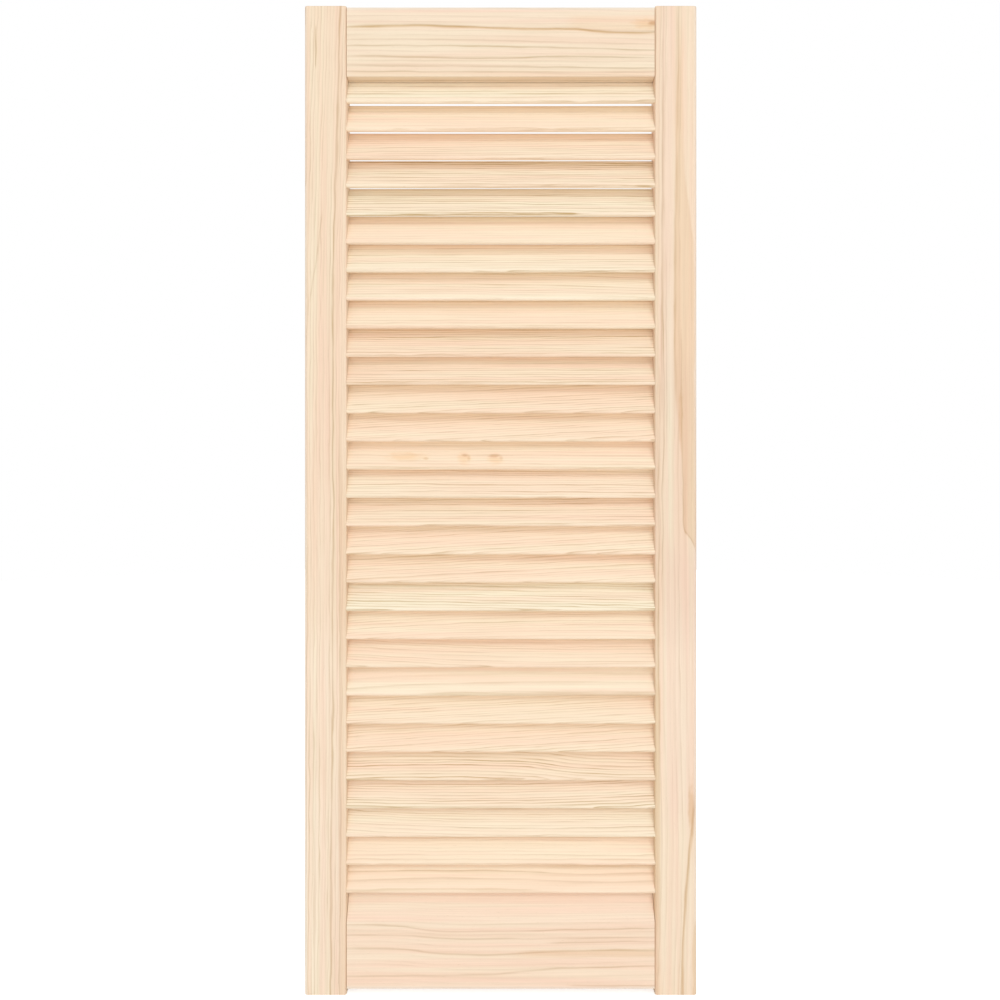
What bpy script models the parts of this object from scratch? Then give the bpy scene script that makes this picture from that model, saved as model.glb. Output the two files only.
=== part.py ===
"""Louvred cabinet door in bare pine: two stiles, two rails, fixed slats and the dowels of the frame.

The origin is at the middle of the door's foot, +X to the right, +Y to the back, +Z up, in metres.
"""

import math

import bpy

MM = 0.001

# Overall size of the door
DOOR_WIDTH = 394 * MM
DOOR_HEIGHT = 993 * MM
DOOR_THICKNESS = 21 * MM

# Frame
STILE_WIDTH = 42 * MM
TOP_RAIL_HEIGHT = 69.5 * MM  # of the top rail's front face
BOTTOM_RAIL_HEIGHT = 67 * MM  # of the bottom rail's front face, up to its bevel
BOTTOM_RAIL_LIP = 4 * MM  # flat left behind the bottom rail's bevel
TOP_HORN = 1.5 * MM  # stile standing above the top rail
BOTTOM_HORN = 6 * MM  # stile standing below the bottom rail
OUTER_ARRIS = 3 * MM  # rounding of a stile's outer edges
INNER_ARRIS = 2 * MM  # rounding of a stile's inner edges
RAIL_ARRIS = 0.8 * MM  # rounding of a rail's long edges
GLUE_LINE = 0.3 * MM  # between a rail's end and the stile

# Slats
SLAT_COUNT = 29
SLAT_THICKNESS = 5 * MM
SLAT_ANGLE = math.radians(63.3)  # rise of the slats and the rails' bevels from front to back
SLAT_INSET = 1 * MM  # from each face of the door to the slat's rounded edge
FIRST_SLAT_DROP = 25.4 * MM  # from the top rail's lower edge down to the foot of the first slat
LAST_SLAT_RISE = 27.8 * MM  # from the bottom rail's front edge up to the foot of the last slat
SLOT_DEPTH = 10 * MM  # depth of the blind slots in the stiles
SLOT_CLEARANCE = 0.3 * MM  # between a slat and its slot
SLOT_END_GAP = 0.5 * MM  # between a slat's end and the floor of its slot
BEVEL_CLEARANCE = 0.3 * MM  # between the top rail's bevel and the first slat

# Dowels
DOWEL_DIAMETER = 8 * MM
DOWEL_LENGTH = 50 * MM
DOWEL_CHAMFER = 1 * MM
DOWEL_CLEARANCE = 0.2 * MM  # around the dowel in its hole
DOWEL_END_GAP = 1 * MM  # between a dowel's end and the floor of its hole
DOWEL_WALL = 4.5 * MM  # wood left between a dowel's hole and the rail's edge or bevel
FLUTE_COUNT = 8
FLUTE_DEPTH = 0.4 * MM
RIDGE_SHARE = 0.55  # of each flute's turn, left as a ridge

# Smoothness of the rounded edges
ARRIS_STEPS = 3
SLAT_EDGE_STEPS = 6
HOLE_SIDES = 24
SMOOTH_ANGLE = math.radians(40)

# Values that follow from the sizes above
INNER_HALF_WIDTH = DOOR_WIDTH / 2 - STILE_WIDTH
HALF_THICKNESS = DOOR_THICKNESS / 2
TOP_RAIL_HEAD = DOOR_HEIGHT - TOP_HORN
TOP_RAIL_FOOT = TOP_RAIL_HEAD - TOP_RAIL_HEIGHT
BOTTOM_RAIL_HEAD = BOTTOM_HORN + BOTTOM_RAIL_HEIGHT
SLOPE = math.tan(SLAT_ANGLE)
BOTTOM_BEVEL_RISE = (DOOR_THICKNESS - BOTTOM_RAIL_LIP) * SLOPE
SLAT_RUN = DOOR_THICKNESS - 2 * SLAT_INSET - SLAT_THICKNESS
SLAT_RISE = SLAT_RUN * SLOPE
SLAT_WIDTH = SLAT_RUN / math.cos(SLAT_ANGLE) + SLAT_THICKNESS
SLAT_HEIGHT = SLAT_RISE + SLAT_THICKNESS
FIRST_SLAT_FOOT = TOP_RAIL_FOOT - FIRST_SLAT_DROP
LAST_SLAT_FOOT = BOTTOM_RAIL_HEAD + LAST_SLAT_RISE
FIRST_SLAT_FACE = FIRST_SLAT_FOOT + SLAT_HEIGHT / 2 + SLAT_THICKNESS / 2 / math.cos(SLAT_ANGLE)
TOP_BEVEL = FIRST_SLAT_FACE + BEVEL_CLEARANCE / math.cos(SLAT_ANGLE)  # height at the middle of the thickness
BOTTOM_BEVEL = BOTTOM_RAIL_HEAD + HALF_THICKNESS * SLOPE  # the same for the bottom rail
SLAT_PITCH = (FIRST_SLAT_FOOT - LAST_SLAT_FOOT) / (SLAT_COUNT - 1)
SLAT_HALF_LENGTH = INNER_HALF_WIDTH + SLOT_DEPTH - SLOT_END_GAP


def make_material(name, colour, roughness):
    """Return a plain wood material of one colour."""
    material = bpy.data.materials.new(name)
    material.use_nodes = True
    shader = material.node_tree.nodes["Principled BSDF"]
    shader.inputs["Base Color"].default_value = (*colour, 1.0)
    shader.inputs["Roughness"].default_value = roughness
    shader.inputs["Metallic"].default_value = 0.0
    return material


def add_object(name, mesh, location, tilt=0.0, parent=None):
    """Place a mesh in the scene, tilted about the X axis."""
    item = bpy.data.objects.new(name, mesh)
    item.location = location
    item.rotation_euler = (tilt, 0.0, 0.0)
    item.parent = parent
    bpy.context.scene.collection.objects.link(item)
    return item


def rounded_outline(corners, steps):
    """Return a counter-clockwise outline with its corners rounded; each corner is (u, v, radius)."""
    outline = []
    for i, (u, v, radius) in enumerate(corners):
        if radius <= 0.0:
            outline.append((u, v))
            continue
        before = corners[i - 1]
        after = corners[(i + 1) % len(corners)]
        enter = math.atan2(v - before[1], u - before[0])
        leave = math.atan2(after[1] - v, after[0] - u)
        turn = (leave - enter) % (2 * math.pi)
        setback = radius * math.tan(turn / 2)
        centre_u = u - setback * math.cos(enter) - radius * math.sin(enter)
        centre_v = v - setback * math.sin(enter) + radius * math.cos(enter)
        for step in range(steps + 1):
            angle = enter - math.pi / 2 + turn * step / steps
            outline.append((centre_u + radius * math.cos(angle), centre_v + radius * math.sin(angle)))
    return outline


def stadium_outline(width, thickness, steps):
    """Return a counter-clockwise slat section: width along u, with both edges fully rounded."""
    radius = thickness / 2
    reach = width / 2 - radius
    outline = []
    for side, start in ((1, -math.pi / 2), (-1, math.pi / 2)):
        for step in range(steps + 1):
            angle = start + math.pi * step / steps
            outline.append((side * reach + radius * math.cos(angle), radius * math.sin(angle)))
    return outline


def circle_outline(radius, sides):
    """Return a counter-clockwise circle."""
    angles = [2 * math.pi * i / sides for i in range(sides)]
    return [(radius * math.cos(angle), radius * math.sin(angle)) for angle in angles]


def fluted_outline(radius, groove, flutes):
    """Return a circle with a straight V groove between each pair of ridges."""
    outline = []
    for i in range(flutes):
        for part, reach in ((0.0, radius), (RIDGE_SHARE, radius), (RIDGE_SHARE / 2 + 0.5, radius - groove)):
            angle = 2 * math.pi * (i + part) / flutes
            outline.append((reach * math.cos(angle), reach * math.sin(angle)))
    return outline


def loft_along_x(sections):
    """Return vertices and faces of a closed body through sections given as (x, outline in Y and Z)."""
    count = len(sections[0][1])
    verts = [(x, y, z) for x, outline in sections for y, z in outline]
    faces = []
    for row in range(len(sections) - 1):
        low = row * count
        high = low + count
        for i in range(count):
            j = (i + 1) % count
            faces.append((low + i, low + j, high + j, high + i))
    faces.append(tuple(reversed(range(count))))
    faces.append(tuple(range(len(verts) - count, len(verts))))
    return verts, faces


def bar_along_x(outline, start, end):
    """Return a straight bar with its section in Y and Z."""
    return loft_along_x([(start, outline), (end, outline)])


def make_mesh(name, bodies, material):
    """Make one mesh from (vertices, faces) bodies."""
    verts = []
    faces = []
    for body_verts, body_faces in bodies:
        base = len(verts)
        verts.extend(body_verts)
        faces.extend(tuple(base + i for i in face) for face in body_faces)
    mesh = bpy.data.meshes.new(name)
    mesh.from_pydata(verts, [], faces)
    mesh.update()
    mesh.shade_smooth()
    mesh.set_sharp_from_angle(angle=SMOOTH_ANGLE)
    if material:
        mesh.materials.append(material)
    return mesh


def moved(body, offset, tilt=0.0):
    """Return a body tilted about the X axis and then moved."""
    verts, faces = body
    c = math.cos(tilt)
    s = math.sin(tilt)
    dx, dy, dz = offset
    return [(x + dx, c * y - s * z + dy, s * y + c * z + dz) for x, y, z in verts], faces


def cut(item, name, bodies, parent):
    """Cut bodies, given in the door's own frame, out of an object."""
    cutter = add_object(name, make_mesh(name, bodies, None), (0.0, 0.0, 0.0), parent=parent)
    cutter.hide_render = True
    cutter.display_type = "WIRE"
    modifier = item.modifiers.new(name, "BOOLEAN")
    modifier.operation = "DIFFERENCE"
    modifier.solver = "EXACT"
    modifier.object = cutter


def slat_places():
    """Return the height of the middle of each slat, the top one first."""
    return [FIRST_SLAT_FOOT + SLAT_HEIGHT / 2 - SLAT_PITCH * i for i in range(SLAT_COUNT)]


def dowel_heights():
    """Return the heights of the dowels, as far apart in each rail as the wood around their holes allows."""
    from_edge = DOWEL_DIAMETER / 2 + DOWEL_CLEARANCE + DOWEL_WALL
    from_bevel = from_edge / math.cos(SLAT_ANGLE)
    return {
        "top_{}_upper": TOP_RAIL_HEAD - from_edge,
        "top_{}_lower": max(TOP_BEVEL + from_bevel, TOP_RAIL_FOOT + from_edge),
        "bottom_{}_upper": BOTTOM_BEVEL - from_bevel,
        "bottom_{}_lower": BOTTOM_HORN + from_edge,
    }


def dowel_holes(side):
    """Return the holes for the dowels at one side of the door, each running through the joint."""
    outline = circle_outline(DOWEL_DIAMETER / 2 + DOWEL_CLEARANCE, HOLE_SIDES)
    reach = DOWEL_LENGTH / 2 + DOWEL_END_GAP
    hole = bar_along_x(outline, -reach, reach)
    return [moved(hole, (side * INNER_HALF_WIDTH, 0.0, height)) for height in dowel_heights().values()]


def stile_outline(side):
    """Return a stile's section, X and Y about its own middle; side is +1 for the right stile."""
    half = STILE_WIDTH / 2
    right = OUTER_ARRIS if side > 0 else INNER_ARRIS
    left = INNER_ARRIS if side > 0 else OUTER_ARRIS
    corners = [
        (-half, -HALF_THICKNESS, left),
        (half, -HALF_THICKNESS, right),
        (half, HALF_THICKNESS, right),
        (-half, HALF_THICKNESS, left),
    ]
    return rounded_outline(corners, ARRIS_STEPS)


def add_stile(name, side, material, parent):
    """Add a stile with its slanted slots and its dowel holes."""
    outline = stile_outline(side)
    count = len(outline)
    verts = [(x, y, z) for z in (0.0, DOOR_HEIGHT) for x, y in outline]
    faces = [(i, (i + 1) % count, (i + 1) % count + count, i + count) for i in range(count)]
    faces.append(tuple(reversed(range(count))))
    faces.append(tuple(range(count, 2 * count)))
    mesh = make_mesh(name, [(verts, faces)], material)
    middle = side * (INNER_HALF_WIDTH + STILE_WIDTH / 2)
    stile = add_object(name, mesh, (middle, 0.0, 0.0), parent=parent)
    section = stadium_outline(
        SLAT_WIDTH + 2 * SLOT_CLEARANCE, SLAT_THICKNESS + 2 * SLOT_CLEARANCE, SLAT_EDGE_STEPS
    )
    slot = bar_along_x(section, -SLOT_DEPTH, SLOT_DEPTH)
    slots = [moved(slot, (side * INNER_HALF_WIDTH, 0.0, height), SLAT_ANGLE) for height in slat_places()]
    cut(stile, name + "_slots", slots, parent)
    cut(stile, name + "_dowel_holes", dowel_holes(side), parent)


def top_rail_outline():
    """Return the top rail's section in Y and Z, its lower edge bevelled to lie along the first slat."""
    front = -HALF_THICKNESS
    back = HALF_THICKNESS
    corners = [
        (front, TOP_RAIL_FOOT, RAIL_ARRIS),
        ((TOP_RAIL_FOOT - TOP_BEVEL) / SLOPE, TOP_RAIL_FOOT, RAIL_ARRIS),
        (back, TOP_BEVEL + HALF_THICKNESS * SLOPE, RAIL_ARRIS),
        (back, TOP_RAIL_HEAD, RAIL_ARRIS),
        (front, TOP_RAIL_HEAD, RAIL_ARRIS),
    ]
    return rounded_outline(corners, ARRIS_STEPS)


def bottom_rail_outline():
    """Return the bottom rail's section in Y and Z, its upper edge bevelled downwards to the front."""
    front = -HALF_THICKNESS
    back = HALF_THICKNESS
    corners = [
        (front, BOTTOM_HORN, RAIL_ARRIS),
        (back, BOTTOM_HORN, RAIL_ARRIS),
        (back, BOTTOM_RAIL_HEAD + BOTTOM_BEVEL_RISE, RAIL_ARRIS),
        (back - BOTTOM_RAIL_LIP, BOTTOM_RAIL_HEAD + BOTTOM_BEVEL_RISE, RAIL_ARRIS),
        (front, BOTTOM_RAIL_HEAD, RAIL_ARRIS),
    ]
    return rounded_outline(corners, ARRIS_STEPS)


def add_rail(name, outline, material, parent):
    """Add a rail between the stiles, with dowel holes in both ends."""
    half = INNER_HALF_WIDTH - GLUE_LINE
    foot = min(z for _, z in outline)
    own = [(y, z - foot) for y, z in outline]
    mesh = make_mesh(name, [bar_along_x(own, -half, half)], material)
    rail = add_object(name, mesh, (0.0, 0.0, foot), parent=parent)
    cut(rail, name + "_dowel_holes", dowel_holes(-1) + dowel_holes(1), parent)


def add_slats(material, parent):
    """Add the slats, all alike, from the top one down."""
    section = stadium_outline(SLAT_WIDTH, SLAT_THICKNESS, SLAT_EDGE_STEPS)
    mesh = make_mesh("slat", [bar_along_x(section, -SLAT_HALF_LENGTH, SLAT_HALF_LENGTH)], material)
    for number, height in enumerate(slat_places(), start=1):
        add_object("slat_{:02d}".format(number), mesh, (0.0, 0.0, height), SLAT_ANGLE, parent)


def add_dowels(material, parent):
    """Add the dowels, half of each in a rail and half in a stile."""
    radius = DOWEL_DIAMETER / 2
    half = DOWEL_LENGTH / 2
    whole = fluted_outline(radius, FLUTE_DEPTH, FLUTE_COUNT)
    tip = fluted_outline(radius - DOWEL_CHAMFER, FLUTE_DEPTH / 2, FLUTE_COUNT)
    shoulder = half - DOWEL_CHAMFER
    body = loft_along_x([(-half, tip), (-shoulder, whole), (shoulder, whole), (half, tip)])
    mesh = make_mesh("dowel", [body], material)
    for side, word in ((-1, "left"), (1, "right")):
        for pattern, height in dowel_heights().items():
            place = (side * INNER_HALF_WIDTH, 0.0, height)
            add_object("dowel_" + pattern.format(word), mesh, place, parent=parent)


def main():
    """Build the whole door."""
    for item in list(bpy.data.objects):
        bpy.data.objects.remove(item)
    door = add_object("louvred_door", None, (0.0, 0.0, 0.0))
    stile_wood = make_material("stile_pine", (0.90, 0.71, 0.53), 0.6)
    rail_wood = make_material("rail_pine", (0.91, 0.74, 0.56), 0.6)
    slat_wood = make_material("slat_pine", (0.95, 0.76, 0.56), 0.55)
    dowel_wood = make_material("dowel_beech", (0.62, 0.42, 0.27), 0.6)
    add_stile("stile_left", -1, stile_wood, door)
    add_stile("stile_right", 1, stile_wood, door)
    add_rail("rail_top", top_rail_outline(), rail_wood, door)
    add_rail("rail_bottom", bottom_rail_outline(), rail_wood, door)
    add_slats(slat_wood, door)
    add_dowels(dowel_wood, door)


main()
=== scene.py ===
"""Looks of the louvred cabinet door: finely rounded pine stiles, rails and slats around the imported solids.

Every piece of timber is built in its own frame: X runs along the grain, Y across the board and Z through
its thickness. The wood's pattern is worked out in that frame, in millimetres.
"""

import math
import random

import bpy
from mathutils import Matrix, Vector


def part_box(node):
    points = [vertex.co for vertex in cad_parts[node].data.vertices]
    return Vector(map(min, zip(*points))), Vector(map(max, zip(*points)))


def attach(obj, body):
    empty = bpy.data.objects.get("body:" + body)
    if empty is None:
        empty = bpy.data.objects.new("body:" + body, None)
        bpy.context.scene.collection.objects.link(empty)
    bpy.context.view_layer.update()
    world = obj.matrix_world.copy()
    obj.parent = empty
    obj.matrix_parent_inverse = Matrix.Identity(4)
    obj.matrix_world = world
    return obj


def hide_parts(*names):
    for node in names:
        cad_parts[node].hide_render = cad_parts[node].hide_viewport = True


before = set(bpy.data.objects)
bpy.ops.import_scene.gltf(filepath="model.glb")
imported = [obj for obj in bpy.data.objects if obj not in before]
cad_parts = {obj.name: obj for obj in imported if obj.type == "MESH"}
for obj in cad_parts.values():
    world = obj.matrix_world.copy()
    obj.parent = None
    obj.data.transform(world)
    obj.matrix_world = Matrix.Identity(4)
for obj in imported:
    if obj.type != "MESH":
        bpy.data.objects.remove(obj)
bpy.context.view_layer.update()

MM = 0.001
# Seeds of the slats' strays from true and of their grain
STRAY_SEED = 1285
GRAIN_SEED = 42

# Rounding and easing of the timber
OUTER_ARRIS = 3 * MM
INNER_ARRIS = 2 * MM
RAIL_ARRIS = 0.8 * MM
BOTTOM_RAIL_LIP = 4 * MM
STILE_EASE = 0.35 * MM
RAIL_EASE = 0.25 * MM
SLAT_EASE = 0.4 * MM
ARRIS_STEPS = 8
EASE_STEPS = 4
NOSE_STEPS = 14
SLAT_FACE_STEPS = 6
SLAT_STATIONS = 24
SHARP_ANGLE = math.radians(32)

# Slats and joints, as in the solids
SLAT_THICKNESS = 5 * MM
FIT = 0.3 * MM
SLOT_DEPTH = 10 * MM
DOWEL_HOLE_RADIUS = 4.2 * MM
DOWEL_END_GAP = 1 * MM
HOLE_SIDES = 32

# How far a slat may stray from true
SLAT_BOW = 0.3 * MM
SLAT_CUP = 0.12 * MM
SLAT_SHIFT = 0.15 * MM
SLAT_TWIST = math.radians(0.15)

# The frame's own sizes
STILE_LOW, STILE_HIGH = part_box("stile_right")
RAIL_HALF_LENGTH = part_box("rail_top")[1].x
SLAT_LOW, SLAT_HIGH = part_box("slat_01")
SLAT_NAMES = sorted(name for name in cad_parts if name.startswith("slat_"))
DOWEL_NAMES = sorted(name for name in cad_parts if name.startswith("dowel_"))
DOOR_HEIGHT = STILE_HIGH.z
STILE_WIDTH = STILE_HIGH.x - STILE_LOW.x
STILE_MIDDLE = (STILE_HIGH.x + STILE_LOW.x) / 2
INNER_HALF_WIDTH = STILE_LOW.x
HALF_THICKNESS = STILE_HIGH.y
SLAT_RUN = SLAT_HIGH.y - SLAT_LOW.y - SLAT_THICKNESS
SLAT_RISE = SLAT_HIGH.z - SLAT_LOW.z - SLAT_THICKNESS
SLAT_ANGLE = math.atan2(SLAT_RISE, SLAT_RUN)
SLAT_WIDTH = math.hypot(SLAT_RISE, SLAT_RUN) + SLAT_THICKNESS
SLAT_HALF_LENGTH = SLAT_HIGH.x
SLOPE = SLAT_RISE / SLAT_RUN
# Height of the top rail's bevel, which lies along the first slat, at the middle of the thickness
TOP_BEVEL = (SLAT_LOW.z + SLAT_HIGH.z) / 2 + (SLAT_THICKNESS / 2 + FIT) / math.cos(SLAT_ANGLE)
BOTTOM_BEVEL_RISE = (2 * HALF_THICKNESS - BOTTOM_RAIL_LIP) * SLOPE


def rounded_outline(corners, steps):
    """Return a counter-clockwise outline with its corners rounded; each corner is (u, v, radius)."""
    outline = []
    for i, (u, v, radius) in enumerate(corners):
        if radius <= 0.0:
            outline.append((u, v))
            continue
        before = corners[i - 1]
        after = corners[(i + 1) % len(corners)]
        enter = math.atan2(v - before[1], u - before[0])
        leave = math.atan2(after[1] - v, after[0] - u)
        turn = (leave - enter) % (2 * math.pi)
        setback = radius * math.tan(turn / 2)
        centre_u = u - setback * math.cos(enter) - radius * math.sin(enter)
        centre_v = v - setback * math.sin(enter) + radius * math.cos(enter)
        for step in range(steps + 1):
            angle = enter - math.pi / 2 + turn * step / steps
            outline.append((centre_u + radius * math.cos(angle), centre_v + radius * math.sin(angle)))
    return outline


def stadium_outline(width, thickness, nose_steps, face_steps=1):
    """Return a counter-clockwise slat section, width along u, with round edges and stepped faces."""
    radius = thickness / 2
    reach = width / 2 - radius
    outline = []
    for side, start in ((1, -math.pi / 2), (-1, math.pi / 2)):
        for step in range(nose_steps + 1):
            angle = start + math.pi * step / nose_steps
            outline.append((side * reach + radius * math.cos(angle), radius * math.sin(angle)))
        for step in range(1, face_steps):
            outline.append((side * (reach - 2 * reach * step / face_steps), side * radius))
    return outline


def inset_outline(outline, depth):
    """Return an outline moved inwards by a small depth."""
    moved = []
    for i, (u, v) in enumerate(outline):
        before = Vector(outline[i - 1])
        after = Vector(outline[(i + 1) % len(outline)])
        along = (after - before).normalized()
        moved.append((u - along.y * depth, v + along.x * depth))
    return moved


def eased_sections(outline, start, end, ease, stations=1):
    """Return (x, outline) sections from start to end, with both ends rounded over by a small ease."""
    angles = [math.pi / 2 * step / EASE_STEPS for step in range(EASE_STEPS + 1)]
    rounding = [(ease - ease * math.cos(a), ease - ease * math.sin(a)) for a in angles]
    sections = [(start + x, inset_outline(outline, depth)) for x, depth in rounding]
    first = start + ease
    last = end - ease
    sections += [(first + (last - first) * i / stations, outline) for i in range(1, stations)]
    sections += [(end - x, inset_outline(outline, depth)) for x, depth in reversed(rounding)]
    return sections


def loft(name, sections):
    """Make a closed mesh through sections given as (x, outline in Y and Z)."""
    count = len(sections[0][1])
    verts = [(x, y, z) for x, outline in sections for y, z in outline]
    faces = []
    for low in range(0, len(verts) - count, count):
        for i in range(count):
            j = (i + 1) % count
            faces.append((low + i, low + j, low + count + j, low + count + i))
    faces.append(tuple(reversed(range(count))))
    faces.append(tuple(range(len(verts) - count, len(verts))))
    mesh = bpy.data.meshes.new(name)
    mesh.from_pydata(verts, [], faces)
    mesh.update()
    return mesh


def add_object(name, mesh, matrix):
    """Place a mesh in the scene."""
    item = bpy.data.objects.new(name, mesh)
    item.matrix_world = matrix
    bpy.context.scene.collection.objects.link(item)
    return item


def cut_out(item, meshes):
    """Cut several closed meshes, given in the door's frame, out of an object for good."""
    cutters = []
    for mesh, matrix in meshes:
        cutters.append(add_object("cutter", mesh, matrix))
        modifier = item.modifiers.new("cut", "BOOLEAN")
        modifier.operation = "DIFFERENCE"
        modifier.solver = "EXACT"
        modifier.object = cutters[-1]
    bpy.context.view_layer.update()
    shown = item.evaluated_get(bpy.context.evaluated_depsgraph_get())
    whole = bpy.data.meshes.new_from_object(shown)
    item.modifiers.clear()
    item.data = whole
    for cutter in cutters:
        bpy.data.objects.remove(cutter)


def smooth(item):
    """Shade an object smooth between its sharp edges, with flat faces kept flat."""
    item.data.shade_smooth()
    item.data.set_sharp_from_angle(angle=SHARP_ANGLE)
    modifier = item.modifiers.new("weighted_normals", "WEIGHTED_NORMAL")
    modifier.keep_sharp = True


def slat_matrix(name):
    """Return the place of a slat: X along it, Y up its slope, Z out of its front face."""
    low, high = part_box(name)
    return Matrix.Translation((low + high) / 2) @ Matrix.Rotation(SLAT_ANGLE, 4, "X")


def dowel_holes(nodes):
    """Return a cutter for each of these dowels' holes."""
    circle = [2 * math.pi * i / HOLE_SIDES for i in range(HOLE_SIDES)]
    outline = [(DOWEL_HOLE_RADIUS * math.cos(a), DOWEL_HOLE_RADIUS * math.sin(a)) for a in circle]
    holes = []
    for node in nodes:
        low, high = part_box(node)
        reach = (high.x - low.x) / 2 + DOWEL_END_GAP
        hole = loft("dowel_hole", [(-reach, outline), (reach, outline)])
        holes.append((hole, Matrix.Translation((low + high) / 2)))
    return holes


def build_stile(node, side):
    """Build a stile with its slanted slots and dowel holes; side is +1 on the right."""
    half = STILE_WIDTH / 2
    right = OUTER_ARRIS if side > 0 else INNER_ARRIS
    left = INNER_ARRIS if side > 0 else OUTER_ARRIS
    corners = [
        (-half, -HALF_THICKNESS, left),
        (half, -HALF_THICKNESS, right),
        (half, HALF_THICKNESS, right),
        (-half, HALF_THICKNESS, left),
    ]
    outline = rounded_outline(corners, ARRIS_STEPS)
    mesh = loft("pine_" + node, eased_sections(outline, 0.0, DOOR_HEIGHT, STILE_EASE))
    columns = ((0, 0, 1), (1, 0, 0), (0, 1, 0))
    turn = Matrix(columns).transposed().to_4x4()
    stile = add_object("pine_" + node, mesh, Matrix.Translation((side * STILE_MIDDLE, 0, 0)) @ turn)
    section = stadium_outline(SLAT_WIDTH + 2 * FIT, SLAT_THICKNESS + 2 * FIT, NOSE_STEPS)
    slots = []
    for name in SLAT_NAMES:
        slot = loft("slot", [(-SLOT_DEPTH, section), (SLOT_DEPTH, section)])
        slots.append((slot, Matrix.Translation((side * INNER_HALF_WIDTH, 0, 0)) @ slat_matrix(name)))
    word = "right" if side > 0 else "left"
    cut_out(stile, slots + dowel_holes([name for name in DOWEL_NAMES if word in name]))
    return stile


def rail_corners(node):
    """Return the corners of a rail's section in Y and Z, one edge bevelled at the slats' slope."""
    front = -HALF_THICKNESS
    back = HALF_THICKNESS
    low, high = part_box(node)
    if node == "rail_top":
        bevel = [((low.z - TOP_BEVEL) / SLOPE, low.z), (back, TOP_BEVEL + back * SLOPE)]
        return [(front, low.z), *bevel, (back, high.z), (front, high.z)]
    bevel = [(back - BOTTOM_RAIL_LIP, high.z), (front, high.z - BOTTOM_BEVEL_RISE)]
    return [(front, low.z), (back, low.z), (back, high.z), *bevel]


def build_rail(node):
    """Build a rail; its own frame is at the middle of its front face's height."""
    low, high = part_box(node)
    corners = rail_corners(node)
    middle = (corners[0][1] + corners[-1][1]) / 2
    rounded = rounded_outline([(y, z, RAIL_ARRIS) for y, z in corners], ARRIS_STEPS)
    outline = [(z - middle, -y) for y, z in rounded]
    mesh = loft("pine_" + node, eased_sections(outline, low.x, high.x, RAIL_EASE))
    columns = ((1, 0, 0), (0, 0, 1), (0, -1, 0))
    turn = Matrix(columns).transposed().to_4x4()
    rail = add_object("pine_" + node, mesh, Matrix.Translation((0, 0, middle)) @ turn)
    word = node.split("_")[1]
    cut_out(rail, dowel_holes([name for name in DOWEL_NAMES if word in name]))
    return rail


def build_slat(node, draw):
    """Build a slat, its edges fully round, very slightly bowed, cupped, twisted and out of line."""
    outline = stadium_outline(SLAT_WIDTH, SLAT_THICKNESS, NOSE_STEPS, SLAT_FACE_STEPS)
    bow = draw.uniform(-SLAT_BOW, SLAT_BOW)
    cup = draw.uniform(-SLAT_CUP, SLAT_CUP)
    shift = draw.uniform(-SLAT_SHIFT, SLAT_SHIFT)
    twist = draw.uniform(-SLAT_TWIST, SLAT_TWIST)
    sections = eased_sections(outline, -SLAT_HALF_LENGTH, SLAT_HALF_LENGTH, SLAT_EASE, SLAT_STATIONS)
    mesh = loft("pine_" + node, sections)
    for vert in mesh.vertices:
        x, y, z = vert.co
        share = x / SLAT_HALF_LENGTH
        lift = bow * (1 - share * share) + cup * (1 - (2 * y / SLAT_WIDTH) ** 2)
        vert.co = (x, y + shift - twist * share * z, z + lift + twist * share * y)
    return add_object("pine_" + node, mesh, slat_matrix(node))


def build_timber():
    """Build every visible piece of timber and return the pieces by node."""
    draw = random.Random(STRAY_SEED)
    timber = {"stile_left": build_stile("stile_left", -1), "stile_right": build_stile("stile_right", 1)}
    for name in ("rail_top", "rail_bottom"):
        timber[name] = build_rail(name)
    for name in SLAT_NAMES:
        timber[name] = build_slat(name, draw)
    for node, piece in timber.items():
        smooth(piece)
        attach(piece, "root")
        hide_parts(node)
        node.split("_")[0] + "_pine"
    return timber


def srgb(red, green, blue):
    """Return a linear colour, with alpha, from display values of 0 to 255."""
    shares = [value / 255 for value in (red, green, blue)]
    return (*[s / 12.92 if s <= 0.04045 else ((s + 0.055) / 1.055) ** 2.4 for s in shares], 1.0)


# Colours of the wood; a tint is a share of the wood's own colour, and some tints are painted light or shade
EARLY_WOOD = srgb(248, 225, 199)
LATE_WOOD = srgb(195, 159, 110)
WHITE = (1.0, 1.0, 1.0, 1.0)
TINTS = {
    "cream": (0.995, 1.06, 1.07, 1.0),
    "pale": (1.0, 1.02, 1.025, 1.0),
    "peach": (1.005, 0.995, 0.985, 1.0),
    "straw": (1.0, 1.015, 0.995, 1.0),
    "blush": (1.0, 0.98, 0.975, 1.0),
    "tan": (0.99, 0.97, 0.96, 1.0),
    "rose": (1.0, 0.97, 0.98, 1.0),
    # painted shade, together with the boards' tone: the stiles and rails darker than the slats, as they face
    # the front while the slats tilt up to the light
    "stile": (0.93, 0.90, 0.89, 1.0),
    "top_rail": (0.935, 0.935, 0.935, 1.0),
    "bottom_rail": (0.975, 0.95, 0.965, 1.0),
    "umber": (0.93, 0.86, 0.78, 1.0),
    "brown": (0.86, 0.76, 0.62, 1.0),
    "resin": (0.97, 0.88, 0.77, 1.0),
    "knot": (0.72, 0.56, 0.44, 1.0),
    # painted reflection: the outer front edges paler and bluer, as if catching the white surroundings
    "edge_reflection": (0.955, 1.035, 1.1, 1.0),
    # painted light: paler and bluer, on the stiles' lower parts, where the lamps reach less, and along the
    # right stile's outer edge
    "light": (1.033, 1.075, 1.105, 1.0),
    "dull": (0.963, 0.96, 0.962, 1.0),
    "pink": (0.985, 0.945, 0.97, 1.0),
    "end_grain": (0.86, 0.80, 0.72, 1.0),
}
# Reach of a drawn path across a board, in millimetres, and the share of a run that fades at each end
PATH_REACH = 40.0
FADE_SHARE = 0.15
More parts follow.
